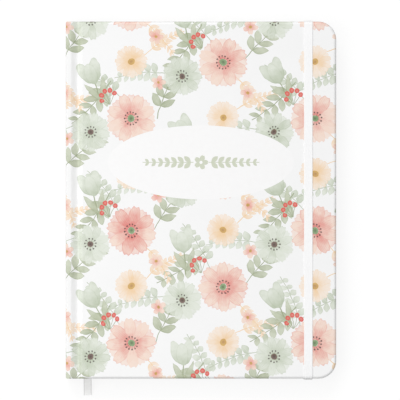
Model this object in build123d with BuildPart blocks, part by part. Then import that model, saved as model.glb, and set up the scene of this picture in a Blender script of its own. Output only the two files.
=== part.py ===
# A case-bound address book, closed and lying on its back cover: millimetres, +Z up.
# The spine is at -X, the fore edge at +X, the head at +Y, and the back cover's outer face is at Z = 0.

import os
from math import cos, radians, sin, tan

from build123d import *

os.makedirs("parts", exist_ok=True)

# Covers and spine
cover_width = 159.0  # spine face to fore edge
cover_height = 210.0  # head to tail
cover_corner_radius = 10.5  # the two fore-edge corners
board_thickness = 2.0
spine_board_thickness = 1.8
cover_paper_thickness = 0.25
cover_edge_rounding = 1.6
spine_edge_rounding = 0.9
groove_width = 9.4  # spine face to the edge of the board
groove_edge_rounding = 1.8
turn_in_width = 15.0  # cover paper folded over the inside of a board
endpaper_thickness = 0.2
pastedown_margin = 3.0  # turn-in that stays visible round a pastedown
hinge_clearance = 0.1

# Pages
page_margin = 3.0  # the covers stand out past the pages at head, tail and fore edge
page_corner_radius = 8.0
section_thickness = 0.6  # six leaves
section_names = ["ab", "cd", "ef", "gh", "ij", "kl", "mn", "op", "qr", "st", "uv", "wx", "yz"]
front_section_count = 6  # sections above the ribbon
tab_depth = 8.0  # how far the fore edge is cut back below an index tab
tab_corner_radius = 1.5
sheet_gap = 0.03  # air between stacked sheets
block_gap = 0.15  # air between a cover and the page block

# Back of the page block
spine_hollow = 0.3  # air between the spine and the lining
lining_thickness = 0.3
band_radius = 0.8  # the bead of a head band or tail band
band_skirt = 12.0  # its cloth strip, glued down the back of the block

# Ribbon bookmark
ribbon_width = 4.6
ribbon_thickness = 0.3
ribbon_clearance = 0.05
ribbon_tail_inset = 12.8  # spine face to the ribbon's middle at the tail
ribbon_head_inset = 0.5  # back of the pages to the ribbon's edge at the head
ribbon_head_margin = 2.0  # page head to the glued end
ribbon_reach = 9.9  # how far the free end shows past the cover
ribbon_drop_angle = 68.0  # slope of the free end on its way down

# Elastic band
elastic_width = 5.0
elastic_thickness = 0.8
elastic_inset = 16.4  # fore edge to the middle of the band
elastic_tuck = 15.0  # each end, glued under the back pastedown
elastic_clearance = 0.05

# Levels and edges worked out from the sizes above
spine_face = -cover_width / 2
fore_edge = cover_width / 2
board_edge = spine_face + groove_width
board_inner = cover_paper_thickness + board_thickness
pastedown_inner = board_inner + endpaper_thickness
spine_thickness = cover_paper_thickness + spine_board_thickness
strip_bottom = spine_thickness + hinge_clearance
hinge_inset = strip_bottom + cover_paper_thickness

lining_face = spine_face + spine_thickness + spine_hollow
page_spine = lining_face + lining_thickness + sheet_gap
page_fore = fore_edge - page_margin
page_head = cover_height / 2 - page_margin
page_tail = -page_head
tab_height = (page_head - page_tail) / len(section_names)

section_pitch = section_thickness + sheet_gap
back_section_count = len(section_names) - front_section_count
back_flyleaf_bottom = max(pastedown_inner, hinge_inset) + block_gap
back_sections_bottom = back_flyleaf_bottom + endpaper_thickness + sheet_gap
back_block_top = back_sections_bottom + back_section_count * section_pitch - sheet_gap
ribbon_middle = back_block_top + ribbon_clearance + ribbon_thickness / 2
front_block_bottom = back_block_top + ribbon_thickness + 2 * ribbon_clearance
front_flyleaf_bottom = front_block_bottom + front_section_count * section_pitch
front_block_top = front_flyleaf_bottom + endpaper_thickness
book_thickness = front_block_top + back_flyleaf_bottom
middle_plane = Plane.XY.offset(book_thickness / 2)

elastic_middle = fore_edge - elastic_inset


# Panels of the two covers
def cover_slab(inset, spine_side, bottom, thickness):
    """A cover's outline, drawn in by inset, with its outer edges rounded."""
    with BuildPart() as slab:
        with BuildSketch(Plane.XY.offset(bottom)) as outline:
            with Locations(((spine_side + fore_edge - inset) / 2, 0)):
                Rectangle(fore_edge - inset - spine_side, cover_height - 2 * inset)
            fillet(outline.vertices().group_by(Axis.X)[-1], cover_corner_radius - inset)
        extrude(amount=thickness)
        groove_side = slab.faces().sort_by(Axis.Z)[0].edges().sort_by(Axis.X)[0]
        fillet(groove_side, groove_edge_rounding - inset)
        free_sides = slab.faces().sort_by(Axis.Z)[0].edges().sort_by(Axis.X)[1:]
        fillet(free_sides, cover_edge_rounding - inset)
    return slab.part


def board_blank():
    """A board, pressed thinner where the cover paper is turned in over its edge."""
    pad_width = fore_edge - turn_in_width - board_edge
    with BuildPart() as board:
        add(
            cover_slab(
                cover_paper_thickness,
                board_edge,
                cover_paper_thickness,
                board_thickness - cover_paper_thickness,
            )
        )
        with BuildSketch(Plane.XY.offset(board_thickness)):
            with Locations((board_edge + pad_width / 2, 0)):
                Rectangle(pad_width, cover_height - 2 * turn_in_width)
        extrude(amount=cover_paper_thickness)
    return board.part


def cover_paper_blank(board):
    """Cover paper round a board, with the strip at the bottom of the hinge groove."""
    strip_start = spine_face + hinge_inset + hinge_clearance
    with BuildPart() as paper:
        add(cover_slab(0, board_edge - cover_paper_thickness, 0, board_inner))
        with BuildSketch(Plane.XY.offset(strip_bottom)):
            with Locations(((strip_start + board_edge) / 2, 0)):
                Rectangle(board_edge - strip_start, cover_height)
        extrude(amount=cover_paper_thickness)
        add(board, mode=Mode.SUBTRACT)
    return paper.part


def pastedown_blank():
    """An endpaper glued inside a cover, short of the cover's edges."""
    edge = fore_edge - pastedown_margin
    with BuildPart() as sheet:
        with BuildSketch(Plane.XY.offset(board_inner)) as outline:
            with Locations(((board_edge + edge) / 2, 0)):
                Rectangle(edge - board_edge, cover_height - 2 * pastedown_margin)
            corners = outline.vertices().group_by(Axis.X)[-1]
            fillet(corners, cover_corner_radius - pastedown_margin)
        extrude(amount=endpaper_thickness)
    return sheet.part


def elastic_pocket(clearance):
    """The space of the two glued ends of the elastic, open at the cover's head and tail."""
    outer = cover_height / 2 + elastic_clearance + elastic_thickness
    inner = cover_height / 2 - elastic_tuck
    with BuildPart() as pocket:
        with BuildSketch(Plane.XY.offset(board_inner - elastic_thickness)):
            with Locations(
                (elastic_middle, (outer + inner) / 2),
                (elastic_middle, -(outer + inner) / 2),
            ):
                Rectangle(elastic_width + 2 * clearance, outer - inner + 2 * clearance)
        extrude(amount=elastic_thickness)
    return pocket.part


blank_board = board_blank()
blank_cover_paper = cover_paper_blank(blank_board)
blank_pastedown = pastedown_blank()

with BuildPart() as back_board:
    add(blank_board)
    add(elastic_pocket(elastic_clearance), mode=Mode.SUBTRACT)
back_board.part.label = "back_board"
export_step(back_board.part, "parts/back_board.step")

with BuildPart() as back_cover_paper:
    add(blank_cover_paper)
    add(elastic_pocket(elastic_clearance), mode=Mode.SUBTRACT)
back_cover_paper.part.label = "back_cover_paper"
export_step(back_cover_paper.part, "parts/back_cover_paper.step")

with BuildPart() as back_pastedown:
    add(blank_pastedown)
back_pastedown.part.label = "back_pastedown"
export_step(back_pastedown.part, "parts/back_pastedown.step")

with BuildPart() as front_board:
    mirror(blank_board, about=middle_plane)
front_board.part.label = "front_board"
export_step(front_board.part, "parts/front_board.step")

with BuildPart() as front_cover_paper:
    mirror(blank_cover_paper, about=middle_plane)
front_cover_paper.part.label = "front_cover_paper"
export_step(front_cover_paper.part, "parts/front_cover_paper.step")

with BuildPart() as front_pastedown:
    mirror(blank_pastedown, about=middle_plane)
front_pastedown.part.label = "front_pastedown"
export_step(front_pastedown.part, "parts/front_pastedown.step")


# Spine
def spine_slab(inset):
    """The spine's full block, drawn in by inset on every side but the inner one."""
    thickness = spine_thickness - inset
    with BuildPart() as slab:
        with BuildSketch(Plane.YZ.offset(spine_face + inset)):
            with Locations((0, book_thickness / 2)):
                Rectangle(cover_height - 2 * inset, book_thickness - 2 * inset)
        extrude(amount=thickness)
        fillet(slab.faces().sort_by(Axis.X)[0].edges(), spine_edge_rounding - inset)
    return slab.part


with BuildPart() as spine_board:
    add(spine_slab(cover_paper_thickness))
spine_board.part.label = "spine_board"
export_step(spine_board.part, "parts/spine_board.step")

with BuildPart() as spine_cover_paper:
    add(spine_slab(0))
    add(spine_board.part, mode=Mode.SUBTRACT)
spine_cover_paper.part.label = "spine_cover_paper"
export_step(spine_cover_paper.part, "parts/spine_cover_paper.step")


# Pages
def page_sheet(bottom, thickness, tab_bottom):
    """Pages whose fore edge is cut back below tab_bottom."""
    cut_edge = page_fore - tab_depth
    with BuildPart() as sheet:
        with BuildSketch(Plane.XY.offset(bottom)) as outline:
            with Locations(((page_spine + cut_edge) / 2, 0)):
                Rectangle(cut_edge - page_spine, page_head - page_tail)
            with Locations(((page_spine + page_fore) / 2, (tab_bottom + page_head) / 2)):
                Rectangle(page_fore - page_spine, page_head - tab_bottom)
            head_corner = outline.vertices().group_by(Axis.Y)[-1].sort_by(Axis.X)[-1]
            fillet(head_corner, page_corner_radius)
            tail_corner = outline.vertices().group_by(Axis.Y)[0].sort_by(Axis.X)[-1]
            fillet(tail_corner, page_corner_radius)
            if tab_bottom > page_tail:
                tab_corner = outline.vertices().group_by(Axis.X)[-1].sort_by(Axis.Y)[0]
                fillet(tab_corner, tab_corner_radius)
        extrude(amount=thickness)
    return sheet.part


flyleaf_bottoms = {
    "back_flyleaf": back_flyleaf_bottom,
    "front_flyleaf": front_flyleaf_bottom,
}
for name, bottom in flyleaf_bottoms.items():
    with BuildPart() as flyleaf:
        add(page_sheet(bottom, endpaper_thickness, page_tail))
    flyleaf.part.label = name
    export_step(flyleaf.part, f"parts/{name}.step")

for index, letters in enumerate(section_names):
    if index < front_section_count:
        layer = front_section_count - 1 - index
        section_bottom = front_block_bottom + layer * section_pitch
    else:
        layer = len(section_names) - 1 - index
        section_bottom = back_sections_bottom + layer * section_pitch
    is_last = index == len(section_names) - 1
    tab_bottom = page_tail if is_last else page_head - (index + 1) * tab_height
    with BuildPart() as section:
        add(page_sheet(section_bottom, section_thickness, tab_bottom))
    section.part.label = f"pages_{letters}"
    export_step(section.part, f"parts/pages_{letters}.step")


# Lining and bands, each in two halves, because the block folds in its middle
block_halves = {
    "back": (back_flyleaf_bottom, back_block_top),
    "front": (front_block_bottom, front_block_top),
}
for half, (bottom, top) in block_halves.items():
    with BuildPart() as lining:
        with BuildSketch(Plane.XY.offset(bottom)):
            with Locations((lining_face + lining_thickness / 2, 0)):
                Rectangle(lining_thickness, page_head - page_tail - 2 * (band_skirt + sheet_gap))
        extrude(amount=top - bottom)
    lining.part.label = f"{half}_lining"
    export_step(lining.part, f"parts/{half}_lining.step")

    bead_middle = page_head + sheet_gap + band_radius
    with BuildPart() as head_band:
        with BuildSketch(Plane.XY.offset(bottom)):
            with Locations((lining_face + band_radius, bead_middle)):
                Circle(band_radius)
            with Locations((lining_face + lining_thickness / 2, bead_middle)):
                Rectangle(lining_thickness, band_skirt + sheet_gap + band_radius, align=(Align.CENTER, Align.MAX))
        extrude(amount=top - bottom)
    head_band.part.label = f"{half}_head_band"
    export_step(head_band.part, f"parts/{half}_head_band.step")

    with BuildPart() as tail_band:
        mirror(head_band.part, about=Plane.XZ)
    tail_band.part.label = f"{half}_tail_band"
    export_step(tail_band.part, f"parts/{half}_tail_band.step")


# Flat strips: the ribbon and the elastic
def woven_strip(plane, points, radius, width, thickness):
    """A flat strip along straight runs in a plane, joined by tangent arcs."""
    with BuildPart() as strip:
        with BuildLine(plane) as route:
            FilletPolyline(*points, radius=radius)
        path = route.wires()[0]
        with BuildSketch(Plane(path @ 0, x_dir=plane.z_dir, z_dir=path % 0)):
            Rectangle(width, thickness)
        sweep(path=path)
    return strip.part


ribbon_tail_x = spine_face + ribbon_tail_inset
ribbon_head_x = page_spine + ribbon_head_inset + ribbon_width / 2
ribbon_direction = Vector(ribbon_tail_x - ribbon_head_x, page_tail - page_head, 0).normalized()
ribbon_plane = Plane(
    (ribbon_tail_x, page_tail, 0),
    x_dir=ribbon_direction,
    z_dir=ribbon_direction.cross(Vector(0, 0, 1)),
)
ribbon_floor = ribbon_thickness / 2
ribbon_slope_length = (ribbon_middle - ribbon_floor) / sin(radians(ribbon_drop_angle))
ribbon_slope_run = ribbon_slope_length * cos(radians(ribbon_drop_angle))
ribbon_bend_radius = 0.45 * ribbon_slope_length / tan(radians(ribbon_drop_angle / 2))
ribbon_tip = page_margin + ribbon_reach
ribbon_bend = (ribbon_tip - ribbon_slope_run) / 2
ribbon_start = ribbon_head_margin - (page_head - page_tail)
ribbon_points = [
    (ribbon_start, ribbon_middle),
    (ribbon_bend, ribbon_middle),
    (ribbon_bend + ribbon_slope_run, ribbon_floor),
    (ribbon_tip, ribbon_floor),
]
with BuildPart() as ribbon_bookmark:
    add(woven_strip(ribbon_plane, ribbon_points, ribbon_bend_radius, ribbon_width, ribbon_thickness))
ribbon_bookmark.part.label = "ribbon_bookmark"
export_step(ribbon_bookmark.part, "parts/ribbon_bookmark.step")

elastic_side = cover_height / 2 + elastic_clearance + elastic_thickness / 2
elastic_front = book_thickness + elastic_clearance + elastic_thickness / 2
elastic_points = [
    (-elastic_side, board_inner),
    (-elastic_side, elastic_front),
    (elastic_side, elastic_front),
    (elastic_side, board_inner),
]
elastic_bend_radius = cover_edge_rounding + elastic_clearance + elastic_thickness / 2
with BuildPart() as elastic_band:
    add(
        woven_strip(
            Plane.YZ.offset(elastic_middle),
            elastic_points,
            elastic_bend_radius,
            elastic_width,
            elastic_thickness,
        )
    )
elastic_band.part.label = "elastic_band"
export_step(elastic_band.part, "parts/elastic_band.step")

with BuildPart() as elastic_ends:
    add(elastic_pocket(0))
elastic_ends.part.label = "elastic_ends"
export_step(elastic_ends.part, "parts/elastic_ends.step")

print("book thickness", round(book_thickness, 3), "hinge inset", round(hinge_inset, 3))
print("block pivot x", round(lining_face - hinge_clearance / 2, 3))
print("ribbon bend radius", round(ribbon_bend_radius, 2), "elastic bend radius", elastic_bend_radius)
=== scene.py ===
import math
import random

import bpy
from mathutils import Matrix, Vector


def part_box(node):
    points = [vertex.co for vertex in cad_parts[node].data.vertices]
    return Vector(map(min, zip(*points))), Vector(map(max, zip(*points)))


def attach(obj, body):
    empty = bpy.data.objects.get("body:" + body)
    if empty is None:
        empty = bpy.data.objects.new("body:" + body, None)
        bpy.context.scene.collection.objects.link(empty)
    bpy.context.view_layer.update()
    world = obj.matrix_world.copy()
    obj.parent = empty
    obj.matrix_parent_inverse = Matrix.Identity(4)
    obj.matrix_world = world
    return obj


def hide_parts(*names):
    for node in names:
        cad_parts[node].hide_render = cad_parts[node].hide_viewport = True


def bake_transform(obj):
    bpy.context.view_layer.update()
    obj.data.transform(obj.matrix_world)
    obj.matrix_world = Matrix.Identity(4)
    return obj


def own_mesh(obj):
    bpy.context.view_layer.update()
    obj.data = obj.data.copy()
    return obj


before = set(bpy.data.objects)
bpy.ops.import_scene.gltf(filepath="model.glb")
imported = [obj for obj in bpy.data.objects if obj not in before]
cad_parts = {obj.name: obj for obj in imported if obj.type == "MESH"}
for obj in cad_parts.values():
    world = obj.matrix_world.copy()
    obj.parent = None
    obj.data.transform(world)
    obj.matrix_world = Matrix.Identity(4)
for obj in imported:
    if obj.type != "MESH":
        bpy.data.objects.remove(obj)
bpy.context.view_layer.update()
mm = 0.001
nearly = 0.001  # millimetres that count as no distance
weldGap = nearly * mm
smoothAngle = math.radians(40)
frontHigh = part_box("front_cover_paper")[1]
bookTop = frontHigh.z  # the front cover's outer face
headEdge = frontHigh.y
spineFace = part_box("spine_cover_paper")[0].x
print("frame loaded, book thickness", round(bookTop / mm, 2), "mm")


def paint(red, green, blue):
    # an sRGB colour as shader sockets take it
    shares = [channel / 255 for channel in (red, green, blue)]
    linear = [s / 12.92 if s < 0.04045 else ((s + 0.055) / 1.055) ** 2.4 for s in shares]
    return (*linear, 1.0)


def grey(level):
    return (level, level, level, 1.0)


class Wire:
    # one value in a node tree, whose expressions add Math nodes
    def __init__(self, recipe, socket):
        self.recipe = recipe
        self.socket = socket

    def math(self, operation, *rest):
        return self.recipe.add("ShaderNodeMath", {"operation": operation}, dict(enumerate((self, *rest))))

    def __add__(self, other):
        return self.math("ADD", other)

    def __sub__(self, other):
        return self.math("SUBTRACT", other)

    def __mul__(self, other):
        return self.math("MULTIPLY", other)

    def __truediv__(self, other):
        return self.math("DIVIDE", other)

    def __rsub__(self, other):
        return self.recipe.add("ShaderNodeMath", {"operation": "SUBTRACT"}, {0: other, 1: self})

    __radd__ = __add__
    __rmul__ = __mul__

    def abs(self):
        return self.math("ABSOLUTE")

    def floor(self):
        return self.math("FLOOR")

    def sin(self):
        return self.math("SINE")

    def cos(self):
        return self.math("COSINE")

    def sqrt(self):
        return self.math("SQRT")

    def most(self, other):
        return self.math("MAXIMUM", other)

    def least(self, other):
        return self.math("MINIMUM", other)

    def smooth(self, low, high):
        # 0 at low, 1 at high, eased between
        ends = {"Value": self, "From Min": low, "From Max": high}
        return self.recipe.add("ShaderNodeMapRange", {"interpolation_type": "SMOOTHSTEP"}, ends)


class Recipe:
    # the node tree of a material or a world, and the shader that it feeds
    def __init__(self, owner, shader, fixed):
        owner.use_nodes = True
        self.owner = owner
        self.tree = owner.node_tree
        self.shader = self.tree.nodes[shader]
        for socket, value in fixed.items():
            self.use(socket, value)

    def add(self, kind, settings=None, sockets=None, output=0):
        node = self.tree.nodes.new(kind)
        for key, value in (settings or {}).items():
            setattr(node, key, value)
        for key, value in (sockets or {}).items():
            self.join(value, node.inputs[key])
        return Wire(self, node.outputs[output])

    def join(self, value, target):
        if isinstance(value, Wire):
            self.tree.links.new(value.socket, target)
        else:
            target.default_value = value

    def use(self, socket, value):
        self.join(value, self.shader.inputs[socket])

    def split(self, vector):
        parts = self.add("ShaderNodeSeparateXYZ", None, {0: vector}).socket.node
        return [Wire(self, output) for output in parts.outputs]

    def vector(self, x, y, z=0.0):
        return self.add("ShaderNodeCombineXYZ", None, {0: x, 1: y, 2: z})

    def mix(self, low, high, share):
        return self.add("ShaderNodeMix", {"data_type": "RGBA"}, {0: share, 6: low, 7: high}, 2)

    def tones(self, look, low, high, share):
        # between two of a look's colours
        return self.mix(paint(*look[low]), paint(*look[high]), share)

    def noise(self, where, scale, detail=2.0, output=0):
        sockets = {"Vector": where, "Scale": scale, "Detail": detail}
        return self.add("ShaderNodeTexNoise", None, sockets, output)

    def chance(self, spot):
        return self.add("ShaderNodeTexWhiteNoise", {"noise_dimensions": "3D"}, {"Vector": spot})

    def local(self):
        # a piece's own coordinates, in millimetres
        place = self.add("ShaderNodeTexCoord", None, None, "Object")
        return [part * (1 / mm) for part in self.split(place)]

    def bump(self, height, depth, strength):
        # depth in millimetres
        sockets = {"Height": height, "Distance": depth * mm, "Strength": strength}
        self.use("Normal", self.add("ShaderNodeBump", None, sockets))


def newFinish(name, fixed):
    return Recipe(bpy.data.materials.new(name), "Principled BSDF", fixed)


# camera, lamps, white world and floor
stageSetup = {
    "frameWidth": 235.2,  # what 400 pixels of the view take in at the cover, in millimetres
    "centre": (-0.59, 0.06),  # where the view's middle falls on the cover, in millimetres
    "lens": 600.0,
    "sensor": 36.0,
    "farthest": 20.0,
    "lamps": (
        # name, place and size in metres, power in watts
        ("sideLamp", (-0.5, -0.09, 0.66), 0.75, 2.2),
        ("headLamp", (-1.13, 4.53, 3.77), 3.6, 153.0),
    ),
    "worldLight": 0.54,
    "floorSize": 8.0,
    "floorLevel": -0.0004,
    "floorAlbedo": 0.19,
    "floorGlow": 0.84,
}


def buildCamera(setup):
    scene = bpy.context.scene
    scene.view_settings.view_transform = "Standard"
    camera = bpy.data.cameras.new("photoCamera")
    camera.lens = setup["lens"]
    camera.sensor_width = setup["sensor"]
    camera.clip_end = setup["farthest"]
    eye = bpy.data.objects.new("photoCamera", camera)
    x, y = setup["centre"]
    above = setup["frameWidth"] * mm * setup["lens"] / setup["sensor"]
    eye.location = (x * mm, y * mm, bookTop + above)
    scene.collection.objects.link(eye)
    scene.camera = eye


def buildLamps(setup):
    for name, place, size, power in setup["lamps"]:
        light = bpy.data.lights.new(name, "AREA")
        light.size = size
        light.energy = power
        lamp = bpy.data.objects.new(name, light)
        lamp.location = place
        lamp.rotation_euler = (-lamp.location).to_track_quat("-Z", "Y").to_euler()
        bpy.context.scene.collection.objects.link(lamp)


def seenDirectly(recipe):
    # 1 for the camera, reflections and glass, 0 for the rays that light the object
    path = recipe.add("ShaderNodeLightPath").socket.node
    kinds = ("Is Camera Ray", "Is Glossy Ray", "Is Transmission Ray")
    camera, gloss, glass = (Wire(recipe, path.outputs[kind]) for kind in kinds)
    return camera.most(gloss).most(glass)


def buildWorld(setup):
    studio = Recipe(bpy.data.worlds.new("studio"), "Background", {"Color": grey(1.0)})
    studio.use("Strength", setup["worldLight"] + seenDirectly(studio) * (1 - setup["worldLight"]))
    bpy.context.scene.world = studio.owner


def buildFloor(setup):
    bpy.ops.object.select_all(action="DESELECT")
    bpy.ops.mesh.primitive_plane_add(size=setup["floorSize"], location=(0.0, 0.0, setup["floorLevel"]))
    floor = bpy.context.object
    floor.name = "floor"
    plain = {"Roughness": 1.0, "Specular IOR Level": 0.0, "Emission Strength": 1.0}
    white = newFinish("floorWhite", dict(plain, **{"Base Color": grey(setup["floorAlbedo"])}))
    white.use("Emission Color", white.mix(grey(0.0), grey(setup["floorGlow"]), seenDirectly(white)))
    floor.data.materials.append(white.owner)


for build in (buildCamera, buildLamps, buildWorld, buildFloor):
    build(stageSetup)
print("stage ready")


def objectMode():
    if bpy.context.mode != "OBJECT":
        bpy.ops.object.mode_set(mode="OBJECT")


def selectNothing():
    objectMode()
    bpy.ops.object.select_all(action="DESELECT")


def onlyThis(piece):
    selectNothing()
    bpy.context.view_layer.objects.active = piece
    piece.select_set(True)


def editAll(piece):
    # edit mode on one piece, with all of it selected
    onlyThis(piece)
    bpy.ops.object.mode_set(mode="EDIT")
    bpy.ops.mesh.select_all(action="SELECT")


def editEdges(piece, test):
    # edit mode on one piece, with the edges selected whose middle passes the test, in millimetres
    onlyThis(piece)
    bpy.ops.object.mode_set(mode="EDIT")
    bpy.ops.mesh.select_mode(type="EDGE")
    bpy.ops.mesh.select_all(action="DESELECT")
    bpy.ops.object.mode_set(mode="OBJECT")
    spots = [vertex.co / mm for vertex in piece.data.vertices]
    for edge in piece.data.edges:
        first, second = edge.vertices
        edge.select = test((spots[first] + spots[second]) / 2)
    bpy.ops.object.mode_set(mode="EDIT")


def startGrid(name, low, high, columns, rows):
    # a flat grid from corner to corner, in millimetres, with its place in its mesh
    selectNothing()
    bpy.ops.mesh.primitive_grid_add(x_subdivisions=columns, y_subdivisions=rows, size=1.0)
    piece = bpy.context.object
    piece.name = name
    editAll(piece)
    size = ((high[0] - low[0]) * mm, (high[1] - low[1]) * mm, 1.0)
    middle = ((high[0] + low[0]) / 2 * mm, (high[1] + low[1]) / 2 * mm, low[2] * mm)
    bpy.ops.transform.resize(value=size, center_override=(0.0, 0.0, 0.0))
    bpy.ops.transform.translate(value=middle)
    objectMode()
    return piece


def useModifier(piece, kind, settings):
    onlyThis(piece)
    modifier = piece.modifiers.new(kind.lower(), kind)
    for key, value in settings.items():
        setattr(modifier, key, value)
    bpy.ops.object.modifier_apply(modifier=modifier.name)


def thicken(piece, thickness, offset=0.0):
    useModifier(piece, "SOLIDIFY", {"thickness": thickness * mm, "offset": offset})


def joinPieces(first, *others):
    onlyThis(first)
    for other in others:
        other.select_set(True)
    bpy.ops.object.join()
    return first


def placePiece(piece, material, slotName, body, *nodes):
    # smooth shading, finish, the body it rides on and the CAD nodes it stands for
    onlyThis(piece)
    bpy.ops.object.shade_smooth_by_angle(angle=smoothAngle)
    if material:
        piece.data.materials.clear()
        piece.data.materials.append(material)
    if body:
        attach(piece, body)
    if nodes:
        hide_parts(*nodes)


# ribbon bookmark, a free cord from its glued head end to its cut tail
ribbonLook = {
    "width": 4.6,  # this look and those below are in millimetres
    "thickness": 0.24,
    "route": (
        (-73.944, 99.87, 7.41), (-66.84, -97.5, 7.41), (-66.83, -101.2, 7.41), (-66.83, -103.4, 6.85),
        (-66.83, -108.5, 3.7), (-66.83, -112.4, 0.9), (-66.83, -115.1, 0.18),
    ),
    "curveSteps": 24,  # between two points of the route
    "length": 0.22,  # metres
    "colour": (255, 255, 254),
    "shade": (242, 242, 241),
    "edge": (228, 228, 227),
    "edgeWidth": 0.6,
    "shine": 0.29,  # share of the surface that is bright floating thread
    "ribTurn": 17.0,  # radians of weave per millimetre, along and across
    "floatTurn": 19.0,
    "threadHeight": 0.04,
}


def ribbonMaterial(look):
    satin = {
        "Specular IOR Level": 1.0, "Coat Weight": 0.5, "Coat Roughness": 0.3,
        "Sheen Weight": 0.25, "Sheen Roughness": 0.4, "Metallic": look["shine"],
    }
    recipe = newFinish("ribbonSatin", satin)
    x, y, z = recipe.local()
    # woven edges follow the ribbon's slant down the page
    top, turn = look["route"][:2]
    slant = (top[0] - turn[0]) / (top[1] - turn[1])
    across = (x - turn[0] - (y - turn[1]).most(0.0) * slant).abs()
    edgeLine = look["width"] / 2 - look["edgeWidth"]
    edge = across.smooth(edgeLine, edgeLine + look["edgeWidth"] / 2)
    along = y + z
    rib = (along * look["ribTurn"]).sin()
    floats = (x * look["floatTurn"] + rib.abs() * 1.3).sin()
    slub = recipe.noise(recipe.vector(x * 3, along * 0.12), 1.0, 3.0)
    bright = rib * 0.12 + floats * 0.05 + slub * 0.6 + 0.6
    tone = recipe.tones(look, "shade", "colour", bright)
    recipe.use("Base Color", recipe.mix(tone, paint(*look["edge"]), edge))
    recipe.use("Roughness", 0.36 + slub * 0.16 + edge * 0.1)
    recipe.bump(rib * 0.6 + floats * 0.4, look["threadHeight"], 0.6)
    return recipe.owner


def buildRibbon(look):
    curve = bpy.data.curves.new("ribbon", "CURVE")
    curve.dimensions = "3D"
    curve.twist_mode = "Z_UP"
    curve.resolution_u = look["curveSteps"]
    spline = curve.splines.new("NURBS")
    spline.points.add(len(look["route"]) - 1)
    for point, spot in zip(spline.points, look["route"]):
        point.co = (spot[0] * mm, spot[1] * mm, spot[2] * mm, 1.0)
        point.tilt = math.pi / 2
    spline.order_u = 3
    spline.use_endpoint_u = True
    ribbon = bpy.data.objects.new("ribbon", curve)
    bpy.context.scene.collection.objects.link(ribbon)
    bpy.context.view_layer.update()
    line = bpy.data.meshes.new_from_object(ribbon)
    bpy.data.meshes.remove(line)
    curve.extrude = look["width"] / 2 * mm
    onlyThis(ribbon)
    bpy.ops.object.convert(target="MESH")
    ribbon = bpy.context.object
    editAll(ribbon)
    bpy.ops.mesh.remove_doubles(threshold=weldGap)
    thicken(ribbon, look["thickness"])
    placePiece(ribbon, ribbonMaterial(look), "ribbon", "back_cover", "ribbon_bookmark")


buildRibbon(ribbonLook)
print("ribbon laid")


# printed cover sheet: a half-drop repeat of painted flowers, leaves and berries
coverPrint = {
    "repeat": (54.0, 66.0),
    "spread": 0.6,  # how far a copy of a motif may be turned, in radians
    "driftScale": 0.16,
    "drift": 1.7,  # how far the hand wanders, in millimetres
    "grainScale": 0.3,
    "cloudScale": 0.05,
    "filmScale": 1.3,
    "filmHeight": 0.02,
}
pigments = {
    "ground": (249, 249, 249),
    "groundShade": (244, 244, 244),
    "labelGround": (251, 251, 251),
    "labelShade": (247, 246, 246),
    "coral": (232, 156, 144),
    "blush": (243, 218, 203),
    "rose": (222, 128, 119),
    "peach": (246, 230, 214),
    "apricot": (240, 206, 163),
    "mint": (224, 229, 217),
    "mintDeep": (184, 194, 171),
    "sage": (202, 208, 186),
    "leaf": (148, 159, 121),
    "berry": (218, 78, 70),
    "ink": (62, 44, 40),
}


def pigment(name):
    return paint(*pigments[name])


def nearestCopy(recipe, u, v, place):
    # axes of the nearest copy of a motif, each copy turned a little by chance
    width, height = coverPrint["repeat"]
    column = ((u - place["at"][0]) / width + 0.5).floor()
    side = u - place["at"][0] - column * width
    rise = v - place["at"][1] - column * (height / 2)
    row = (rise / height + 0.5).floor()
    up = rise - row * height
    chance = recipe.chance(recipe.vector(column, row, place["seed"]))
    angle = (chance - 0.5) * place.get("spread", coverPrint["spread"]) + math.radians(place["turn"])
    across, along = angle.cos(), angle.sin()
    return side * across + up * along, up * across - side * along, chance


brush = {
    "ragged": 0.22,  # how far the grain moves an edge
    "softness": 0.12,
    "rim": (0.02, 0.42),  # where pigment gathers, inwards from the edge
    "rimDepth": 0.34,
    "bleed": 0.9,  # how far the grain moves the tone
}


def wash(recipe, below, body, tones, grain, share):
    # one painted shape over what is below: soft edge, pigment gathered at the rim, uneven water
    pale, deep, mixing = tones
    uneven = grain - 0.5
    edge = (body + uneven * brush["ragged"]).smooth(0.0, brush["softness"])
    rim = 1 - body.smooth(*brush["rim"])
    depth = mixing + rim * brush["rimDepth"] + uneven * brush["bleed"]
    tone = recipe.mix(pale, deep, depth.most(0.0).least(1.0))
    return recipe.mix(below, tone, edge * share)


def stroke(recipe, below, line, tone, softness, share):
    # a drawn line or dot over what is below
    return recipe.mix(below, tone, line.smooth(0.0, softness) * share)


# petals and stamens, as shares of the flower's radius
petalShape = {
    "middle": 0.56,
    "half": 0.44,
    "notchFrom": 0.78,
    "notchWidth": 0.1,
    "notchDepth": 0.5,
    "heart": (0.85, 0.12),  # the tone deepens inwards between these
    "veinTurn": 90 / 14,  # radians per millimetre
    "veinDepth": 0.08,
}
stamenShape = {
    "ring": 1.75,  # of the eye's radius
    "hairEnd": (1.7, 1.6),
    "hairWidth": 0.28,  # of a dot's radius
}


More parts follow.
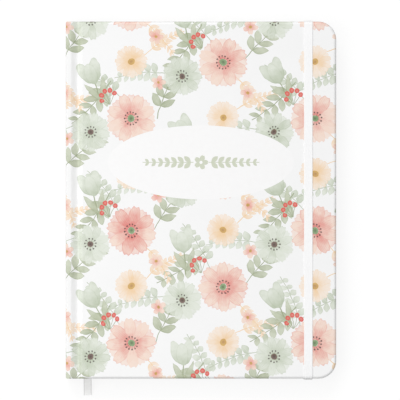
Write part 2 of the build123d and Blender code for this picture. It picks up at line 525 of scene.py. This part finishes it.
def bloom(recipe, below, axes, grain, look):
    # an open flower: a paler ring of petals behind, a second ring in front, its eye and stamens
    x, y, chance = axes
    shape = petalShape
    reach = (x * x + y * y).sqrt() / look["radius"]
    bearing = y.math("ARCTAN2", x)
    sector = 2 * math.pi / look["petals"]
    tones = pigment(look["pale"]), pigment(look["deep"])
    for shift, size, share in look["rings"]:
        wedge = bearing / sector + shift
        petal = (wedge + 0.5).floor()
        lean = (wedge - petal) * sector
        water = recipe.chance(recipe.vector(petal.math("FLOORED_MODULO", look["petals"]), chance, shift))
        along = reach * lean.cos() / size
        across = reach * lean.sin() / size
        swell = (along - shape["middle"]) / shape["half"]
        spread = across / look["petalWidth"]
        notch = (1 - across.abs().smooth(0.0, shape["notchWidth"])) * shape["notchDepth"]
        body = 1 - swell * swell - spread * spread - notch * along.smooth(shape["notchFrom"], 1.0)
        vein = (across * (shape["veinTurn"] * look["radius"]) + grain * 5).sin() * shape["veinDepth"]
        mixing = along.smooth(*shape["heart"]) * look["depth"] + vein
        mixing = mixing + (chance - 0.5) * 0.25 + (water - 0.5) * 0.5
        below = wash(recipe, below, body, (*tones, mixing), grain, share)
    eye = 1 - reach / look["eye"]
    below = wash(recipe, below, eye, (*look["eyeTones"], eye), grain, 0.95)
    if look.get("stamens"):
        below = stamens(recipe, below, reach, bearing, look)
    return below


def stamens(recipe, below, reach, bearing, look):
    # fine hairs round the eye, with a dot at the end of each
    beat = 2 * math.pi / look["stamens"]
    turn = bearing / beat
    lean = (turn - (turn + 0.5).floor()) * beat
    out = reach * lean.cos() - look["eye"] * stamenShape["ring"]
    off = reach * lean.sin()
    dot = 1 - (out * out + off * off).sqrt() / look["dot"]
    ends = [look["eye"] * end for end in stamenShape["hairEnd"]]
    hair = (1 - off.abs() / (look["dot"] * stamenShape["hairWidth"])).least(reach.smooth(*ends))
    below = stroke(recipe, below, hair, pigment("ink"), 0.5, 0.45)
    return stroke(recipe, below, dot, pigment("ink"), 0.35, 0.85)


# a sprig's common measures, in millimetres
sprigShape = {
    "shrink": 0.5,  # how much smaller the last pair is than the first, as a share
    "stalk": 0.34,
    "stalkFade": 0.4,
    "vein": 0.2,
}


def sprig(recipe, below, axes, grain, look):
    # a stem with paired leaves, each pair a little smaller than the one below it
    x, y, chance = axes
    x = x - y * y * look["bend"]
    half = x.abs()
    angle = math.radians(look["angle"])
    cotangent = math.cos(angle) / math.sin(angle)
    place = (y - half * cotangent) / look["pitch"]
    count = (place + 0.5).floor().most(0.0).least(look["pairs"] - 1)
    off = (count - place) * (look["pitch"] * math.sin(angle))
    size = 1 - count * (sprigShape["shrink"] / look["pairs"])
    along = half / math.sin(angle) - off * cotangent
    share = along / size / look["length"]
    swell = share * 2 - 1
    body = 1 - swell * swell - off.abs() / size / look["width"]
    pale, deep = pigment(look["pale"]), pigment(look["deep"])
    foot, tip, fade = -look["foot"], look["pitch"] * look["pairs"], sprigShape["stalkFade"]
    stalk = (1 - half / sprigShape["stalk"]).least(y.smooth(foot - fade, foot + fade))
    stalk = stalk.least(y.smooth(tip, tip - 1))
    below = stroke(recipe, below, stalk, deep, 0.6, 0.9)
    mixing = share.smooth(1.0, 0.0) * 0.45 + (chance - 0.5) * 0.35 + x.smooth(-0.2, 0.2) * 0.18
    below = wash(recipe, below, body, (pale, deep, mixing), grain, look["share"])
    vein = (1 - off.abs() / sprigShape["vein"]).least(share.smooth(0.92, 0.8))
    vein = vein.least(share.smooth(0.0, 0.1))
    return stroke(recipe, below, vein, pale, 0.7, 0.55)


def roundPetal(x, y, size):
    # 1 in the middle of an oval, 0 at its edge
    across, up = x / size[0], y / size[1]
    return 1 - across * across - up * up


def cupBloom(recipe, below, axes, grain, look):
    # a cup-shaped flower from the side: stem, two blades, outer petals and the middle one
    x, y, chance = axes
    half = x.abs()
    sage, leaf = pigment("sage"), pigment("leaf")
    foot, top = look["stem"]
    stalk = 1 - (x + y * y * look["stemBend"]).abs() / look["stemWidth"]
    stalk = stalk.least(y.smooth(foot, foot + 1)).least(y.smooth(top, top - 1))
    below = stroke(recipe, below, stalk, leaf, 0.6, 0.9)
    turn = math.radians(look["bladeAngle"])
    rise = y - look["bladeFoot"]
    along = (half * math.sin(turn) + rise * math.cos(turn)) / look["blade"]
    off = half * math.cos(turn) - rise * math.sin(turn)
    swell = along * 2 - 1
    body = 1 - swell * swell - off.abs() / look["bladeWidth"]
    below = wash(recipe, below, body, (sage, leaf, along.smooth(1.0, 0.0) * 0.5), grain, 0.9)
    pale, deep = pigment(look["pale"]), pigment(look["deep"])
    lean = math.radians(look["petalLean"])
    out, up = half - look["petalAt"][0], y - look["petalAt"][1]
    sideX = out * math.cos(lean) - up * math.sin(lean)
    sideY = up * math.cos(lean) + out * math.sin(lean)
    mixing = y.smooth(*look["heart"]) * 0.8 + (chance - 0.5) * 0.3
    petal = roundPetal(sideX, sideY, look["petalSize"])
    below = wash(recipe, below, petal, (pale, deep, mixing), grain, 0.95)
    middle = roundPetal(x, y - look["middleAt"], look["middleSize"])
    return wash(recipe, below, middle, (pale, deep, mixing - 0.1), grain, 0.9)


def berrySpray(recipe, below, axes, look):
    # thin stems fanned from one foot, with a berry on each
    x, y = axes[:2]
    reach = (x * x + y * y).sqrt()
    bearing = x.math("ARCTAN2", y)
    gap = math.radians(look["gap"])
    count = (bearing / gap + 0.5).floor().most(-look["each"]).least(look["each"])
    lean = bearing - count * gap
    along = reach * lean.cos()
    off = reach * lean.sin()
    long = look["stem"] - count * count * look["arch"] + count * look["tilt"]
    stalk = (1 - off.abs() / look["stalk"]).least(along.smooth(0.0, 0.6))
    stalk = stalk.least((long - along).smooth(-0.2, 0.2))
    below = stroke(recipe, below, stalk, pigment("leaf"), 0.7, 0.85)
    past = along - long
    ball = 1 - (past * past + off * off).sqrt() / look["berry"]
    tone = recipe.tones(pigments, look["deep"], look["pale"], ball.smooth(0.2, 0.9) * 0.6)
    return stroke(recipe, below, ball, tone, 0.18, 0.95)


eyeGreen = ((0.32, 0.46, 0.22, 1.0), (0.16, 0.30, 0.12, 1.0))
eyeGold = ((0.72, 0.47, 0.13, 1.0), (0.45, 0.22, 0.06, 1.0))
eyeBrown = ((0.24, 0.15, 0.11, 1.0), (0.08, 0.045, 0.035, 1.0))
# a ring of petals is its turn in petals, its size and how strongly it covers
bigBloom = {
    "radius": 15.5, "petals": 8, "petalWidth": 0.235, "rings": ((0.5, 0.96, 0.7), (0.0, 1.0, 0.88)),
    "pale": "blush", "deep": "rose", "depth": 0.7,
    "eye": 0.14, "eyeTones": eyeGreen, "stamens": 13, "dot": 0.038,
}
mintBloom = {
    "radius": 12.5, "petals": 9, "petalWidth": 0.2, "rings": ((0.5, 0.94, 0.7), (0.0, 1.0, 0.9)),
    "pale": "mint", "deep": "mintDeep", "depth": 0.5,
    "eye": 0.15, "eyeTones": eyeBrown, "stamens": 11, "dot": 0.044,
}
peachBloom = {
    "radius": 10.5, "petals": 11, "petalWidth": 0.15, "rings": ((0.5, 0.95, 0.8), (0.0, 1.0, 0.9)),
    "pale": "peach", "deep": "apricot", "depth": 0.8, "eye": 0.2, "eyeTones": eyeGold,
}
starBloom = {
    "radius": 4.6, "petals": 5, "petalWidth": 0.34, "rings": ((0.0, 1.0, 0.9),),
    "pale": "blush", "deep": "coral", "depth": 0.7, "eye": 0.2, "eyeTones": eyeGold,
}
sageSprig = {
    "pairs": 5, "pitch": 5.4, "angle": 48, "length": 9.6, "width": 2.5, "bend": 0.006, "foot": 7.0,
    "pale": "sage", "deep": "leaf", "share": 0.92,
}
mintSprig = {
    "pairs": 6, "pitch": 4.2, "angle": 62, "length": 6.4, "width": 2.3, "bend": -0.007, "foot": 6.0,
    "pale": "mint", "deep": "mintDeep", "share": 0.95,
}
apricotSprig = {
    "pairs": 7, "pitch": 3.1, "angle": 40, "length": 5.6, "width": 1.3, "bend": 0.009, "foot": 5.0,
    "pale": "peach", "deep": "apricot", "share": 0.95,
}
mintCup = {
    "pale": "mint", "deep": "mintDeep", "stem": (-20.0, -4.0), "stemBend": 0.004, "stemWidth": 0.42,
    "blade": 15.0, "bladeAngle": 24, "bladeFoot": -18.5, "bladeWidth": 1.9,
    "petalAt": (3.1, 0.6), "petalLean": 16, "petalSize": (3.3, 7.4),
    "middleAt": -0.8, "middleSize": (3.7, 6.6), "heart": (5.0, -7.0),
}
redSpray = {
    "gap": 21, "each": 2, "stem": 8.6, "arch": 0.55, "tilt": 0.5, "stalk": 0.26,
    "berry": 1.55, "deep": "berry", "pale": "coral",
}
motifs = (
    (sprig, sageSprig, {"at": (30.0, 22.0), "turn": -30, "seed": 1}),
    (sprig, mintSprig, {"at": (3.0, 31.0), "turn": 30, "seed": 2}),
    (sprig, apricotSprig, {"at": (25.0, 56.0), "turn": -62, "seed": 3}),
    (sprig, sageSprig, {"at": (51.0, 64.0), "turn": 146, "seed": 4}),
    (sprig, apricotSprig, {"at": (24.0, 3.0), "turn": -134, "seed": 5}),
    (sprig, mintSprig, {"at": (28.0, 42.0), "turn": 96, "seed": 12}),
    (cupBloom, mintCup, {"at": (43.0, 9.0), "turn": 14, "seed": 6}),
    (bloom, mintBloom, {"at": (43.0, 40.0), "turn": 0, "seed": 13, "spread": 3.0}),
    (bloom, starBloom, {"at": (29.0, 36.0), "turn": 0, "seed": 7, "spread": 3.0}),
    (bloom, peachBloom, {"at": (13.0, 48.5), "turn": 0, "seed": 8, "spread": 3.0}),
    (bloom, bigBloom, {"at": (13.0, 15.0), "turn": 0, "seed": 9, "spread": 3.0}),
    (bloom, starBloom, {"at": (27.5, 63.0), "turn": 40, "seed": 10, "spread": 3.0}),
)
berriesAt = {"at": (0.5, 23.0), "turn": 20, "seed": 11}

# the plain oval on the front, with a mirrored leaf ornament
labelLook = {
    "middle": (0.0, 22.2),
    "half": (54.9, 21.8),
    "edge": 0.012,
    "gap": 6.0,  # from the middle to the first leaves
    "twig": {
        "pairs": 7, "pitch": 4.1, "angle": 42, "length": 5.4, "width": 1.5, "bend": 0.0, "foot": 1.5,
        "pale": "sage", "deep": "sage", "share": 0.9,
    },
    "star": dict(
        starBloom, radius=4.4, pale="sage", deep="sage", eye=0.22, eyeTones=(pigment("labelGround"),) * 2,
    ),
}


def bareLabel(recipe, below, x, y, outer, grain, look):
    across, up = x - look["middle"][0], y - look["middle"][1]
    face = roundPetal(across, up, look["half"]).smooth(0.0, look["edge"]) * outer.most(0.0)
    plain = recipe.tones(pigments, "labelGround", "labelShade", grain)
    plain = sprig(recipe, plain, (up, across.abs() - look["gap"], grain), grain, look["twig"])
    plain = bloom(recipe, plain, (across, up, grain), grain, look["star"])
    return recipe.mix(below, plain, face)


def coverMaterial(look):
    recipe = newFinish("coverPrint", {"Coat Weight": 0.12, "Coat Roughness": 0.35})
    # the sheet runs on round the spine: across the front, down the spine, out along the back
    x, v, z = recipe.local()
    outer = (z - bookTop / mm / 2).math("SIGN")
    u = (x - spineFace / mm) * outer + z + (spineFace - bookTop) / mm
    u.socket.node.name = "sheetAcross"
    v.socket.node.name = "sheetAlong"
    where = recipe.vector(u, v)
    driftU, driftV = recipe.split(recipe.noise(where, look["driftScale"], 2.0, 1))[:2]
    handU = u + (driftU - 0.5) * look["drift"]
    handV = v + (driftV - 0.5) * look["drift"]
    grain = recipe.noise(where, look["grainScale"], 4.0)
    cloud = recipe.noise(where, look["cloudScale"], 3.0)
    colour = recipe.tones(pigments, "ground", "groundShade", cloud)
    for make, motif, place in motifs:
        colour = make(recipe, colour, nearestCopy(recipe, handU, handV, place), grain, motif)
    colour = berrySpray(recipe, colour, nearestCopy(recipe, handU, handV, berriesAt), redSpray)
    recipe.use("Base Color", bareLabel(recipe, colour, x, v, outer, grain, labelLook))
    film = recipe.noise(where, look["filmScale"], 3.0)
    recipe.use("Roughness", 0.4 + film * 0.12)
    recipe.bump(film, look["filmHeight"], 0.5)
    return recipe.owner


def dressCad(material, slotName, *nodes):
    # a CAD node that keeps its shape gets its material
    for node in nodes:
        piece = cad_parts[node]
        piece.data.materials.clear()
        piece.data.materials.append(material)


coverMain = coverMaterial(coverPrint)
dressCad(coverMain, "cover_print", "front_cover_paper", "back_cover_paper", "spine_cover_paper")
print("cover print ready")


# cover paper pressed into the hinge grooves, where the sheet runs from the spine onto a cover
jointLook = {
    "lipStart": -78.4,
    "grooveStart": -76.65,
    "grooveBottom": -72.5,
    "grooveEnd": -69.75,
    "flatEnd": -68.3,
    "depth": 1.85,
    "lift": 0.012,
    "spineRounding": 0.9,
    "coverRounding": 1.6,
    "fold": 0.4,  # the turned-in sheet's own edge, where no board fills it
    "roundedEnd": 2.0,
    "columns": 56,
    "rows": 40,
    "straightRows": 0.6,  # share of the rows between the rounded ends
    "thickness": 0.25,
    "bendStart": -77.3,
    "bendEnd": -74.7,
}


def onSheet(material):
    # the same print, read from a joint skin's own UV map
    recipe = Recipe(material.copy(), "Principled BSDF", {})
    recipe.owner.name = "coverPrintJoint"
    across, along = recipe.split(recipe.add("ShaderNodeUVMap", {"uv_map": "sheet"}))[:2]
    sheetAcross, sheetAlong = recipe.tree.nodes["sheetAcross"], recipe.tree.nodes["sheetAlong"]
    recipe.join(across * (1 / mm), sheetAcross.inputs[0])
    recipe.join(0.0, sheetAcross.inputs[1])
    recipe.join(along, sheetAlong.inputs[0])
    return recipe.owner


def sunkShare(x, look):
    # 0 on the flats and 1 at the groove's bottom, with nearly straight sides that ease in at the top
    down = (x - look["grooveStart"]) / (look["grooveBottom"] - look["grooveStart"])
    up = (look["grooveEnd"] - x) / (look["grooveEnd"] - look["grooveBottom"])
    slope = max(min(down, up), 0.0)
    return slope * (1 + slope * (3 - 2 * slope)) / 2


def rowPlace(part, tail, look):
    # rows crowd together at the rounded head and tail
    straight = look["straightRows"]
    if part < straight:
        return (tail - look["roundedEnd"]) * part / straight
    return tail - look["roundedEnd"] * ((1 - part) / (1 - straight)) ** 2


def buildJointSkin(name, outward, look, material):
    tail = headEdge / mm
    corners = (look["lipStart"], -tail, 0.0), (look["flatEnd"], tail, 0.0)
    skin = startGrid(name, *corners, look["columns"], look["rows"])
    outer = bookTop / mm if outward > 0 else 0.0
    span = look["grooveEnd"] - look["grooveStart"]
    for vertex in skin.data.vertices:
        x = vertex.co.x / mm
        y = rowPlace(abs(vertex.co.y / mm) / tail, tail, look)
        share = min(max((x - look["grooveStart"]) / span, 0.0), 1.0)
        sunk = sunkShare(x, look)
        rounding = look["spineRounding"] + (look["coverRounding"] - look["spineRounding"]) * share
        rounding += (look["fold"] - rounding) * sunk
        past = max(0.0, y - (tail - rounding))
        dip = look["depth"] * sunk + rounding - math.sqrt(max(0.0, rounding ** 2 - past ** 2))
        vertex.co.y = math.copysign(y, vertex.co.y) * mm
        vertex.co.z = (outer + outward * (look["lift"] - dip)) * mm
    sheet = skin.data.uv_layers.new(name="sheet")
    for loop in skin.data.loops:
        spot = skin.data.vertices[loop.vertex_index].co
        across = spot.x if outward > 0 else 2 * spineFace - bookTop - spot.x
        sheet.data[loop.index].uv = (across, spot.y)
    if outward < 0:
        editAll(skin)
        bpy.ops.mesh.flip_normals()
    thicken(skin, look["thickness"], -1.0)
    placePiece(skin, material, "cover_print", None)
    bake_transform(skin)


coverJoint = onSheet(coverMain)
buildJointSkin("frontJointSkin", 1, jointLook, coverJoint)
buildJointSkin("backJointSkin", -1, jointLook, coverJoint)
print("hinge grooves pressed")


# elastic closing band: a ribbed strip over head and tail, with its ends glued inside the back cover
elasticLook = {
    "columns": 14,
    "rows": 12,
    "endRows": 3,
    "rib": 0.05,
    "thickness": 0.34,
    "softEdge": 0.12,
    "bend": 1.85,
    "bendSteps": 6,
    "tuck": 15.85,  # length of each glued end
    "released": 0.13,  # of the legs' height, once the band lies behind the back cover
    "colour": (255, 255, 255),
    "shade": (244, 244, 246),
    "cordPitch": 0.357,  # rubber cords under the knit
    "knitTurn": 9.0,  # radians per millimetre
    "knitHeight": 0.06,
}


def elasticMaterial(look):
    recipe = newFinish("elasticWeave", {"Sheen Weight": 0.2, "Sheen Roughness": 0.5})
    x, y, z = recipe.local()
    along = y + z
    turn = x * (math.pi / look["cordPitch"])
    column = turn.sin()
    knit = (along * look["knitTurn"] + (turn * 0.5).sin() * 1.2).sin()
    fuzz = recipe.noise(recipe.vector(x, along), 3.0, 3.0)
    bright = knit * 0.1 + column * 0.1 + fuzz * 0.5 + 0.55
    recipe.use("Base Color", recipe.tones(look, "shade", "colour", bright))
    recipe.use("Roughness", 0.62 + fuzz * 0.2)
    recipe.bump(knit * 0.5 + column * 0.4 + fuzz * 0.3, look["knitHeight"], 0.7)
    return recipe.owner


def ribStrip(piece, look):
    # every second column stands proud, then the strip gets its thickness and soft edges
    objectMode()
    low = min(vertex.co.x for vertex in piece.data.vertices)
    wide = max(vertex.co.x for vertex in piece.data.vertices) - low
    normals = [vertex.normal.copy() for vertex in piece.data.vertices]
    for vertex, normal in zip(piece.data.vertices, normals):
        if round((vertex.co.x - low) / wide * look["columns"]) % 2:
            vertex.co += normal * look["rib"] * mm
    thicken(piece, look["thickness"])
    bevel = {"width": look["softEdge"] * mm, "segments": 2, "angle_limit": math.radians(50)}
    useModifier(piece, "BEVEL", bevel)


def buildElasticBand(look, weave):
    low, high = (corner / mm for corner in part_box("elastic_band"))
    lift = look["thickness"] / 2 + look["rib"]
    side, top = headEdge / mm + lift, bookTop / mm + lift
    corners = (low.x, -side, top), (high.x, side, top)
    band = startGrid("elasticBand", *corners, look["columns"], look["rows"])
    editEdges(band, lambda spot: abs(spot.y) > side - nearly)
    bpy.ops.mesh.extrude_region_move(TRANSFORM_OT_translate={"value": (0.0, 0.0, (low.z - top) * mm)})
    editEdges(band, lambda spot: abs(spot.y) > side - nearly and spot.z > top - nearly)
    bpy.ops.mesh.bevel(offset=look["bend"] * mm, segments=look["bendSteps"], affect="EDGES")
    ribStrip(band, look)
    placePiece(band, weave, "elastic", "elastic", "elastic_band")
    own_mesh(band)


def buildElasticEnds(look, weave):
    low, high = (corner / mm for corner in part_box("elastic_ends"))
    level = (low.z + high.z) / 2
    tongues = []
    for outer in (high.y, low.y):
        near, far = sorted((outer - math.copysign(look["tuck"], outer), outer))
        corners = (low.x, near, level), (high.x, far, level)
        tongues.append(startGrid("elasticEnds", *corners, look["columns"], look["endRows"]))
        ribStrip(tongues[-1], look)
    placePiece(joinPieces(*tongues), weave, "elastic", "back_cover", "elastic_ends")


elasticWeave = elasticMaterial(elasticLook)
buildElasticBand(elasticLook, elasticWeave)
buildElasticEnds(elasticLook, elasticWeave)
print("elastic band on")


# writing pages: each section as six loose leaves with its index letters
pageLook = {
    "leaves": 6,
    "leafShare": 0.86,  # of the room each leaf has
    "spread": 0.0016,  # how much trimmed widths differ, heights half as much
    "seed": 7,
    "paper": (250, 248, 243),
    "fibre": (241, 238, 231),
    "rule": (196, 209, 186),
    "linePitch": 7.2,
    "entryLines": 4,  # every fourth line is heavier
    "fineLine": (0.3, 0.14),  # half widths, from clear paper to full ink
    "heavyLine": (0.38, 0.2),
    "sideLine": (0.28, 0.12),
    "sideLineAt": -48.0,
    "ruledWidth": (-66.2, 62.2),
    "ruledHeight": (-91.2, 87.2),
    "letterSize": 4.6,
    "letterSpacing": 0.85,
    "letterSteps": 3,  # between two points of a letter's outline
    "letterInset": 4.2,  # from the fore edge to the middle of the letters
    "letterLift": 0.006,
    "ink": (138, 168, 130),
    "inkPale": (164, 190, 156),
}
frontSections = ("ab", "cd", "ef", "gh", "ij", "kl")
backSections = ("mn", "op", "qr", "st", "uv", "wx", "yz")
sections = frontSections + backSections


def within(value, ends):
    # 1 between two ends, 0 past them
    low, high = ends
    fade = 0.2
    return value.smooth(low, low + fade) * value.smooth(high, high - fade)


def fromLine(value, pitch):
    # how far a place is from the nearest of evenly spaced lines
    line = value / pitch
    return (line - (line + 0.5).floor()).abs() * pitch


def ruledLines(recipe, x, y, look):
    normal = recipe.split(recipe.add("ShaderNodeTexCoord", None, None, "Normal"))
    facing = normal[2].abs().smooth(0.5, 0.9)
    fine = fromLine(y, look["linePitch"]).smooth(*look["fineLine"])
    heavy = fromLine(y, look["linePitch"] * look["entryLines"]).smooth(*look["heavyLine"])
    side = (x - look["sideLineAt"]).abs().smooth(*look["sideLine"])
    inside = within(x, look["ruledWidth"]) * within(y, look["ruledHeight"])
    return (fine * 0.6 + heavy * 0.4).most(side * 0.6) * inside * facing


def paperMaterial(name, look):
    recipe = newFinish(name, {"Specular IOR Level": 0.3})
    x, y, z = recipe.local()
    fibre = recipe.noise(recipe.vector(x, y * 0.4, z), 0.9, 5.0)
    cloud = recipe.noise(recipe.vector(x, y, z), 0.05, 2.0)
    tone = recipe.tones(look, "paper", "fibre", fibre * 0.5 + cloud * 0.5)
    if "rule" in look:
        tone = recipe.mix(tone, paint(*look["rule"]), ruledLines(recipe, x, y, look))
    recipe.use("Base Color", tone)
    recipe.use("Roughness", 0.72 + fibre * 0.16)
    recipe.bump(fibre, 0.03, 0.4)
    return recipe.owner


def inkMaterial(look):
    recipe = newFinish("tabInk", {"Specular IOR Level": 0.3})
    x, y, z = recipe.local()
    press = recipe.noise(recipe.vector(x, y, z), 2.5, 3.0)
    recipe.use("Base Color", recipe.tones(look, "ink", "inkPale", press))
    recipe.use("Roughness", 0.55 + press * 0.2)
    return recipe.owner


def indexLetters(letters, spot, upward, look):
    # two letters, one above the other, flat on a tab
    selectNothing()
    bpy.ops.object.text_add()
    words = bpy.context.object
    words.data.body = "\n".join(letters.upper())
    words.data.align_x = "CENTER"
    words.data.align_y = "CENTER"
    words.data.size = look["letterSize"] * mm
    words.data.space_line = look["letterSpacing"]
    words.data.resolution_u = look["letterSteps"]
    bpy.ops.object.convert(target="MESH")
    words = bpy.context.object
    if not upward:
        words.rotation_euler = (0.0, math.pi, 0.0)
    words.location = [axis * mm for axis in spot]
    bpy.ops.object.transform_apply(location=True, rotation=True, scale=True)
    return words


def stackLeaves(letters, look, chance):
    # the section's own outline, thinned to one leaf and repeated, each leaf trimmed a little differently
    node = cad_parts["pages_" + letters]
    low, high = (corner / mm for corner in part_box("pages_" + letters))
    stack = bpy.data.objects.new("leaves_" + letters, node.data.copy())
    bpy.context.scene.collection.objects.link(stack)
    room = (high.z - low.z) / look["leaves"]
    editAll(stack)
    bpy.ops.mesh.remove_doubles(threshold=weldGap)
    bpy.ops.mesh.dissolve_limited(angle_limit=math.radians(1))
    bpy.ops.mesh.select_all(action="SELECT")
    thin = look["leafShare"] / look["leaves"]
    bpy.ops.transform.resize(value=(1.0, 1.0, thin), center_override=(0.0, 0.0, low.z * mm))
    step = {"count": look["leaves"], "use_relative_offset": False, "use_constant_offset": True}
    useModifier(stack, "ARRAY", dict(step, constant_offset_displace=(0.0, 0.0, room * mm)))
    trims = [chance.uniform(-look["spread"], 0.0) for leaf in range(look["leaves"])]
    for vertex in stack.data.vertices:
        leaf = min(int((vertex.co.z / mm - low.z + nearly) / room), look["leaves"] - 1)
        vertex.co.x = low.x * mm + (vertex.co.x - low.x * mm) * (1 + trims[leaf])
        vertex.co.y *= 1 + trims[leaf] / 2
    return stack


def buildLeaves(letters, order, body, look, paper, ink, chance):
    stack = stackLeaves(letters, look, chance)
    stack.data.materials.clear()
    stack.data.materials.append(paper)
    low, high = (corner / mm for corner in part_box("pages_" + letters))
    tabHeight = (high.y - low.y) / len(sections)
    middle = high.y - tabHeight * (order + 0.5)
    air = (high.z - low.z) / look["leaves"] * (1 - look["leafShare"])
    words = []
    for upward, level in ((True, high.z - air + look["letterLift"]), (False, low.z - look["letterLift"])):
        words.append(indexLetters(letters, (high.x - look["letterInset"], middle, level), upward, look))
        words[-1].data.materials.append(ink)
    joinPieces(stack, *words)
    placePiece(stack, None, "pages", body, "pages_" + letters)


pagePaper = paperMaterial("pagePaper", pageLook)
tabInk = inkMaterial(pageLook)
trimChance = random.Random(pageLook["seed"])
for order, letters in enumerate(sections):
    body = "section_" + letters if letters in frontSections else "back_cover"
    buildLeaves(letters, order, body, pageLook, pagePaper, tabInk, trimChance)
print("pages filled")


# head and tail bands: a thread-wound bead on a cloth strip
bandLook = {
    "radius": 0.8,
    "sides": 20,
    "rings": 15,
    "thread": 0.93,  # how far the thread sinks between two turns
    "clothThickness": 0.28,
    "clothInset": 0.15,
    "clothGrid": (4, 12),
    "stripe": 0.6,
    "sage": (170, 192, 158),
    "white": (246, 245, 240),
    "shadow": (205, 205, 198),
}


def bandMaterial(look):
    recipe = newFinish("bandThread", {"Sheen Weight": 0.3, "Sheen Roughness": 0.4})
    x, y, z = recipe.local()
    stripe = (z * (math.pi / look["stripe"]) + y * 0.5).sin().smooth(-0.15, 0.15)
    strand = (z * 40.0 + x * 6.0).sin()
    tone = recipe.tones(look, "sage", "white", stripe)
    recipe.use("Base Color", recipe.mix(tone, paint(*look["shadow"]), strand.most(0.0) * 0.15))
    recipe.use("Roughness", 0.6 + strand * 0.06)
    recipe.bump(strand, 0.03, 0.6)
    return recipe.owner


def windBead(name, low, high, middle, look):
    # a rod along the band, drawn in at every second ring
    tall = high.z - low.z
    selectNothing()
    bpy.ops.mesh.primitive_cylinder_add(
        vertices=look["sides"], radius=look["radius"] * mm, depth=tall * mm,
    )
    bead = bpy.context.object
    bead.name = name
    editEdges(bead, lambda spot: abs(spot.z) < nearly)
    bpy.ops.mesh.subdivide(number_cuts=look["rings"])
    objectMode()
    step = tall / (look["rings"] + 1)
    for vertex in bead.data.vertices:
        turn = round((vertex.co.z / mm + tall / 2) / step)
        pull = 1.0 if turn % 2 else look["thread"]
        vertex.co.x = vertex.co.x * pull + (low.x + look["radius"]) * mm
        vertex.co.y = vertex.co.y * pull + middle * mm
        vertex.co.z += (low.z + high.z) / 2 * mm
    return bead


def buildBand(node, body, look, thread):
    low, high = (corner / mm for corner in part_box(node))
    outer, inner = (high.y, low.y) if high.y > 0 else (low.y, high.y)
    beadMiddle = outer - math.copysign(look["radius"], outer)
    name = node.replace("_", " ").title().replace(" ", "")
    bead = windBead(name, low, high, beadMiddle, look)
    near, far = sorted((beadMiddle, inner))
    cloth = startGrid("bandCloth", (low.z, near, 0.0), (high.z, far, 0.0), *look["clothGrid"])
    for vertex in cloth.data.vertices:
        vertex.co = ((low.x + look["clothInset"]) * mm, vertex.co.y, vertex.co.x)
    thicken(cloth, look["clothThickness"])
    placePiece(joinPieces(bead, cloth), thread, "band_cloth", body, node)


bandThread = bandMaterial(bandLook)
for half, body in (("front", "front_block"), ("back", "back_cover")):
    for end in ("head", "tail"):
        buildBand(f"{half}_{end}_band", body, bandLook, bandThread)
print("head and tail bands wound")


# boards, endpapers and spine lining keep their CAD shape
insideLook = {
    "board": (158, 152, 143),
    "boardPale": (178, 172, 164),
    "fleck": (120, 113, 104),
    "endpaper": {"paper": (249, 248, 245), "fibre": (243, 241, 237)},
    "gauze": (232, 228, 218),
    "glue": (206, 198, 182),
    "threadTurn": 7.0,  # radians of gauze per millimetre
}


def boardMaterial(look):
    recipe = newFinish("greyboard", {"Specular IOR Level": 0.2})
    x, y, z = recipe.local()
    where = recipe.vector(x, y, z * 4)
    pulp = recipe.noise(where, 1.1, 6.0)
    fleck = recipe.noise(where, 2.6, 2.0).smooth(0.62, 0.72)
    tone = recipe.tones(look, "board", "boardPale", pulp)
    recipe.use("Base Color", recipe.mix(tone, paint(*look["fleck"]), fleck * 0.6))
    recipe.use("Roughness", 0.8 + pulp * 0.12)
    recipe.bump(pulp, 0.06, 0.6)
    return recipe.owner


def gauzeMaterial(look):
    recipe = newFinish("spineGauze", {"Specular IOR Level": 0.2})
    y, z = recipe.local()[1:]
    weave = (y * look["threadTurn"]).sin().most((z * look["threadTurn"]).sin())
    recipe.use("Base Color", recipe.tones(look, "glue", "gauze", weave.smooth(0.1, 0.7)))
    recipe.use("Roughness", 0.85 - weave * 0.08)
    recipe.bump(weave, 0.08, 0.7)
    return recipe.owner


dressCad(boardMaterial(insideLook), "greyboard", "front_board", "back_board", "spine_board")
endpaper = paperMaterial("endpaper", insideLook["endpaper"])
dressCad(endpaper, "endpaper", "front_pastedown", "back_pastedown", "front_flyleaf", "back_flyleaf")
dressCad(gauzeMaterial(insideLook), "lining", "front_lining", "back_lining")
print("inside dressed")


print("scene finished")
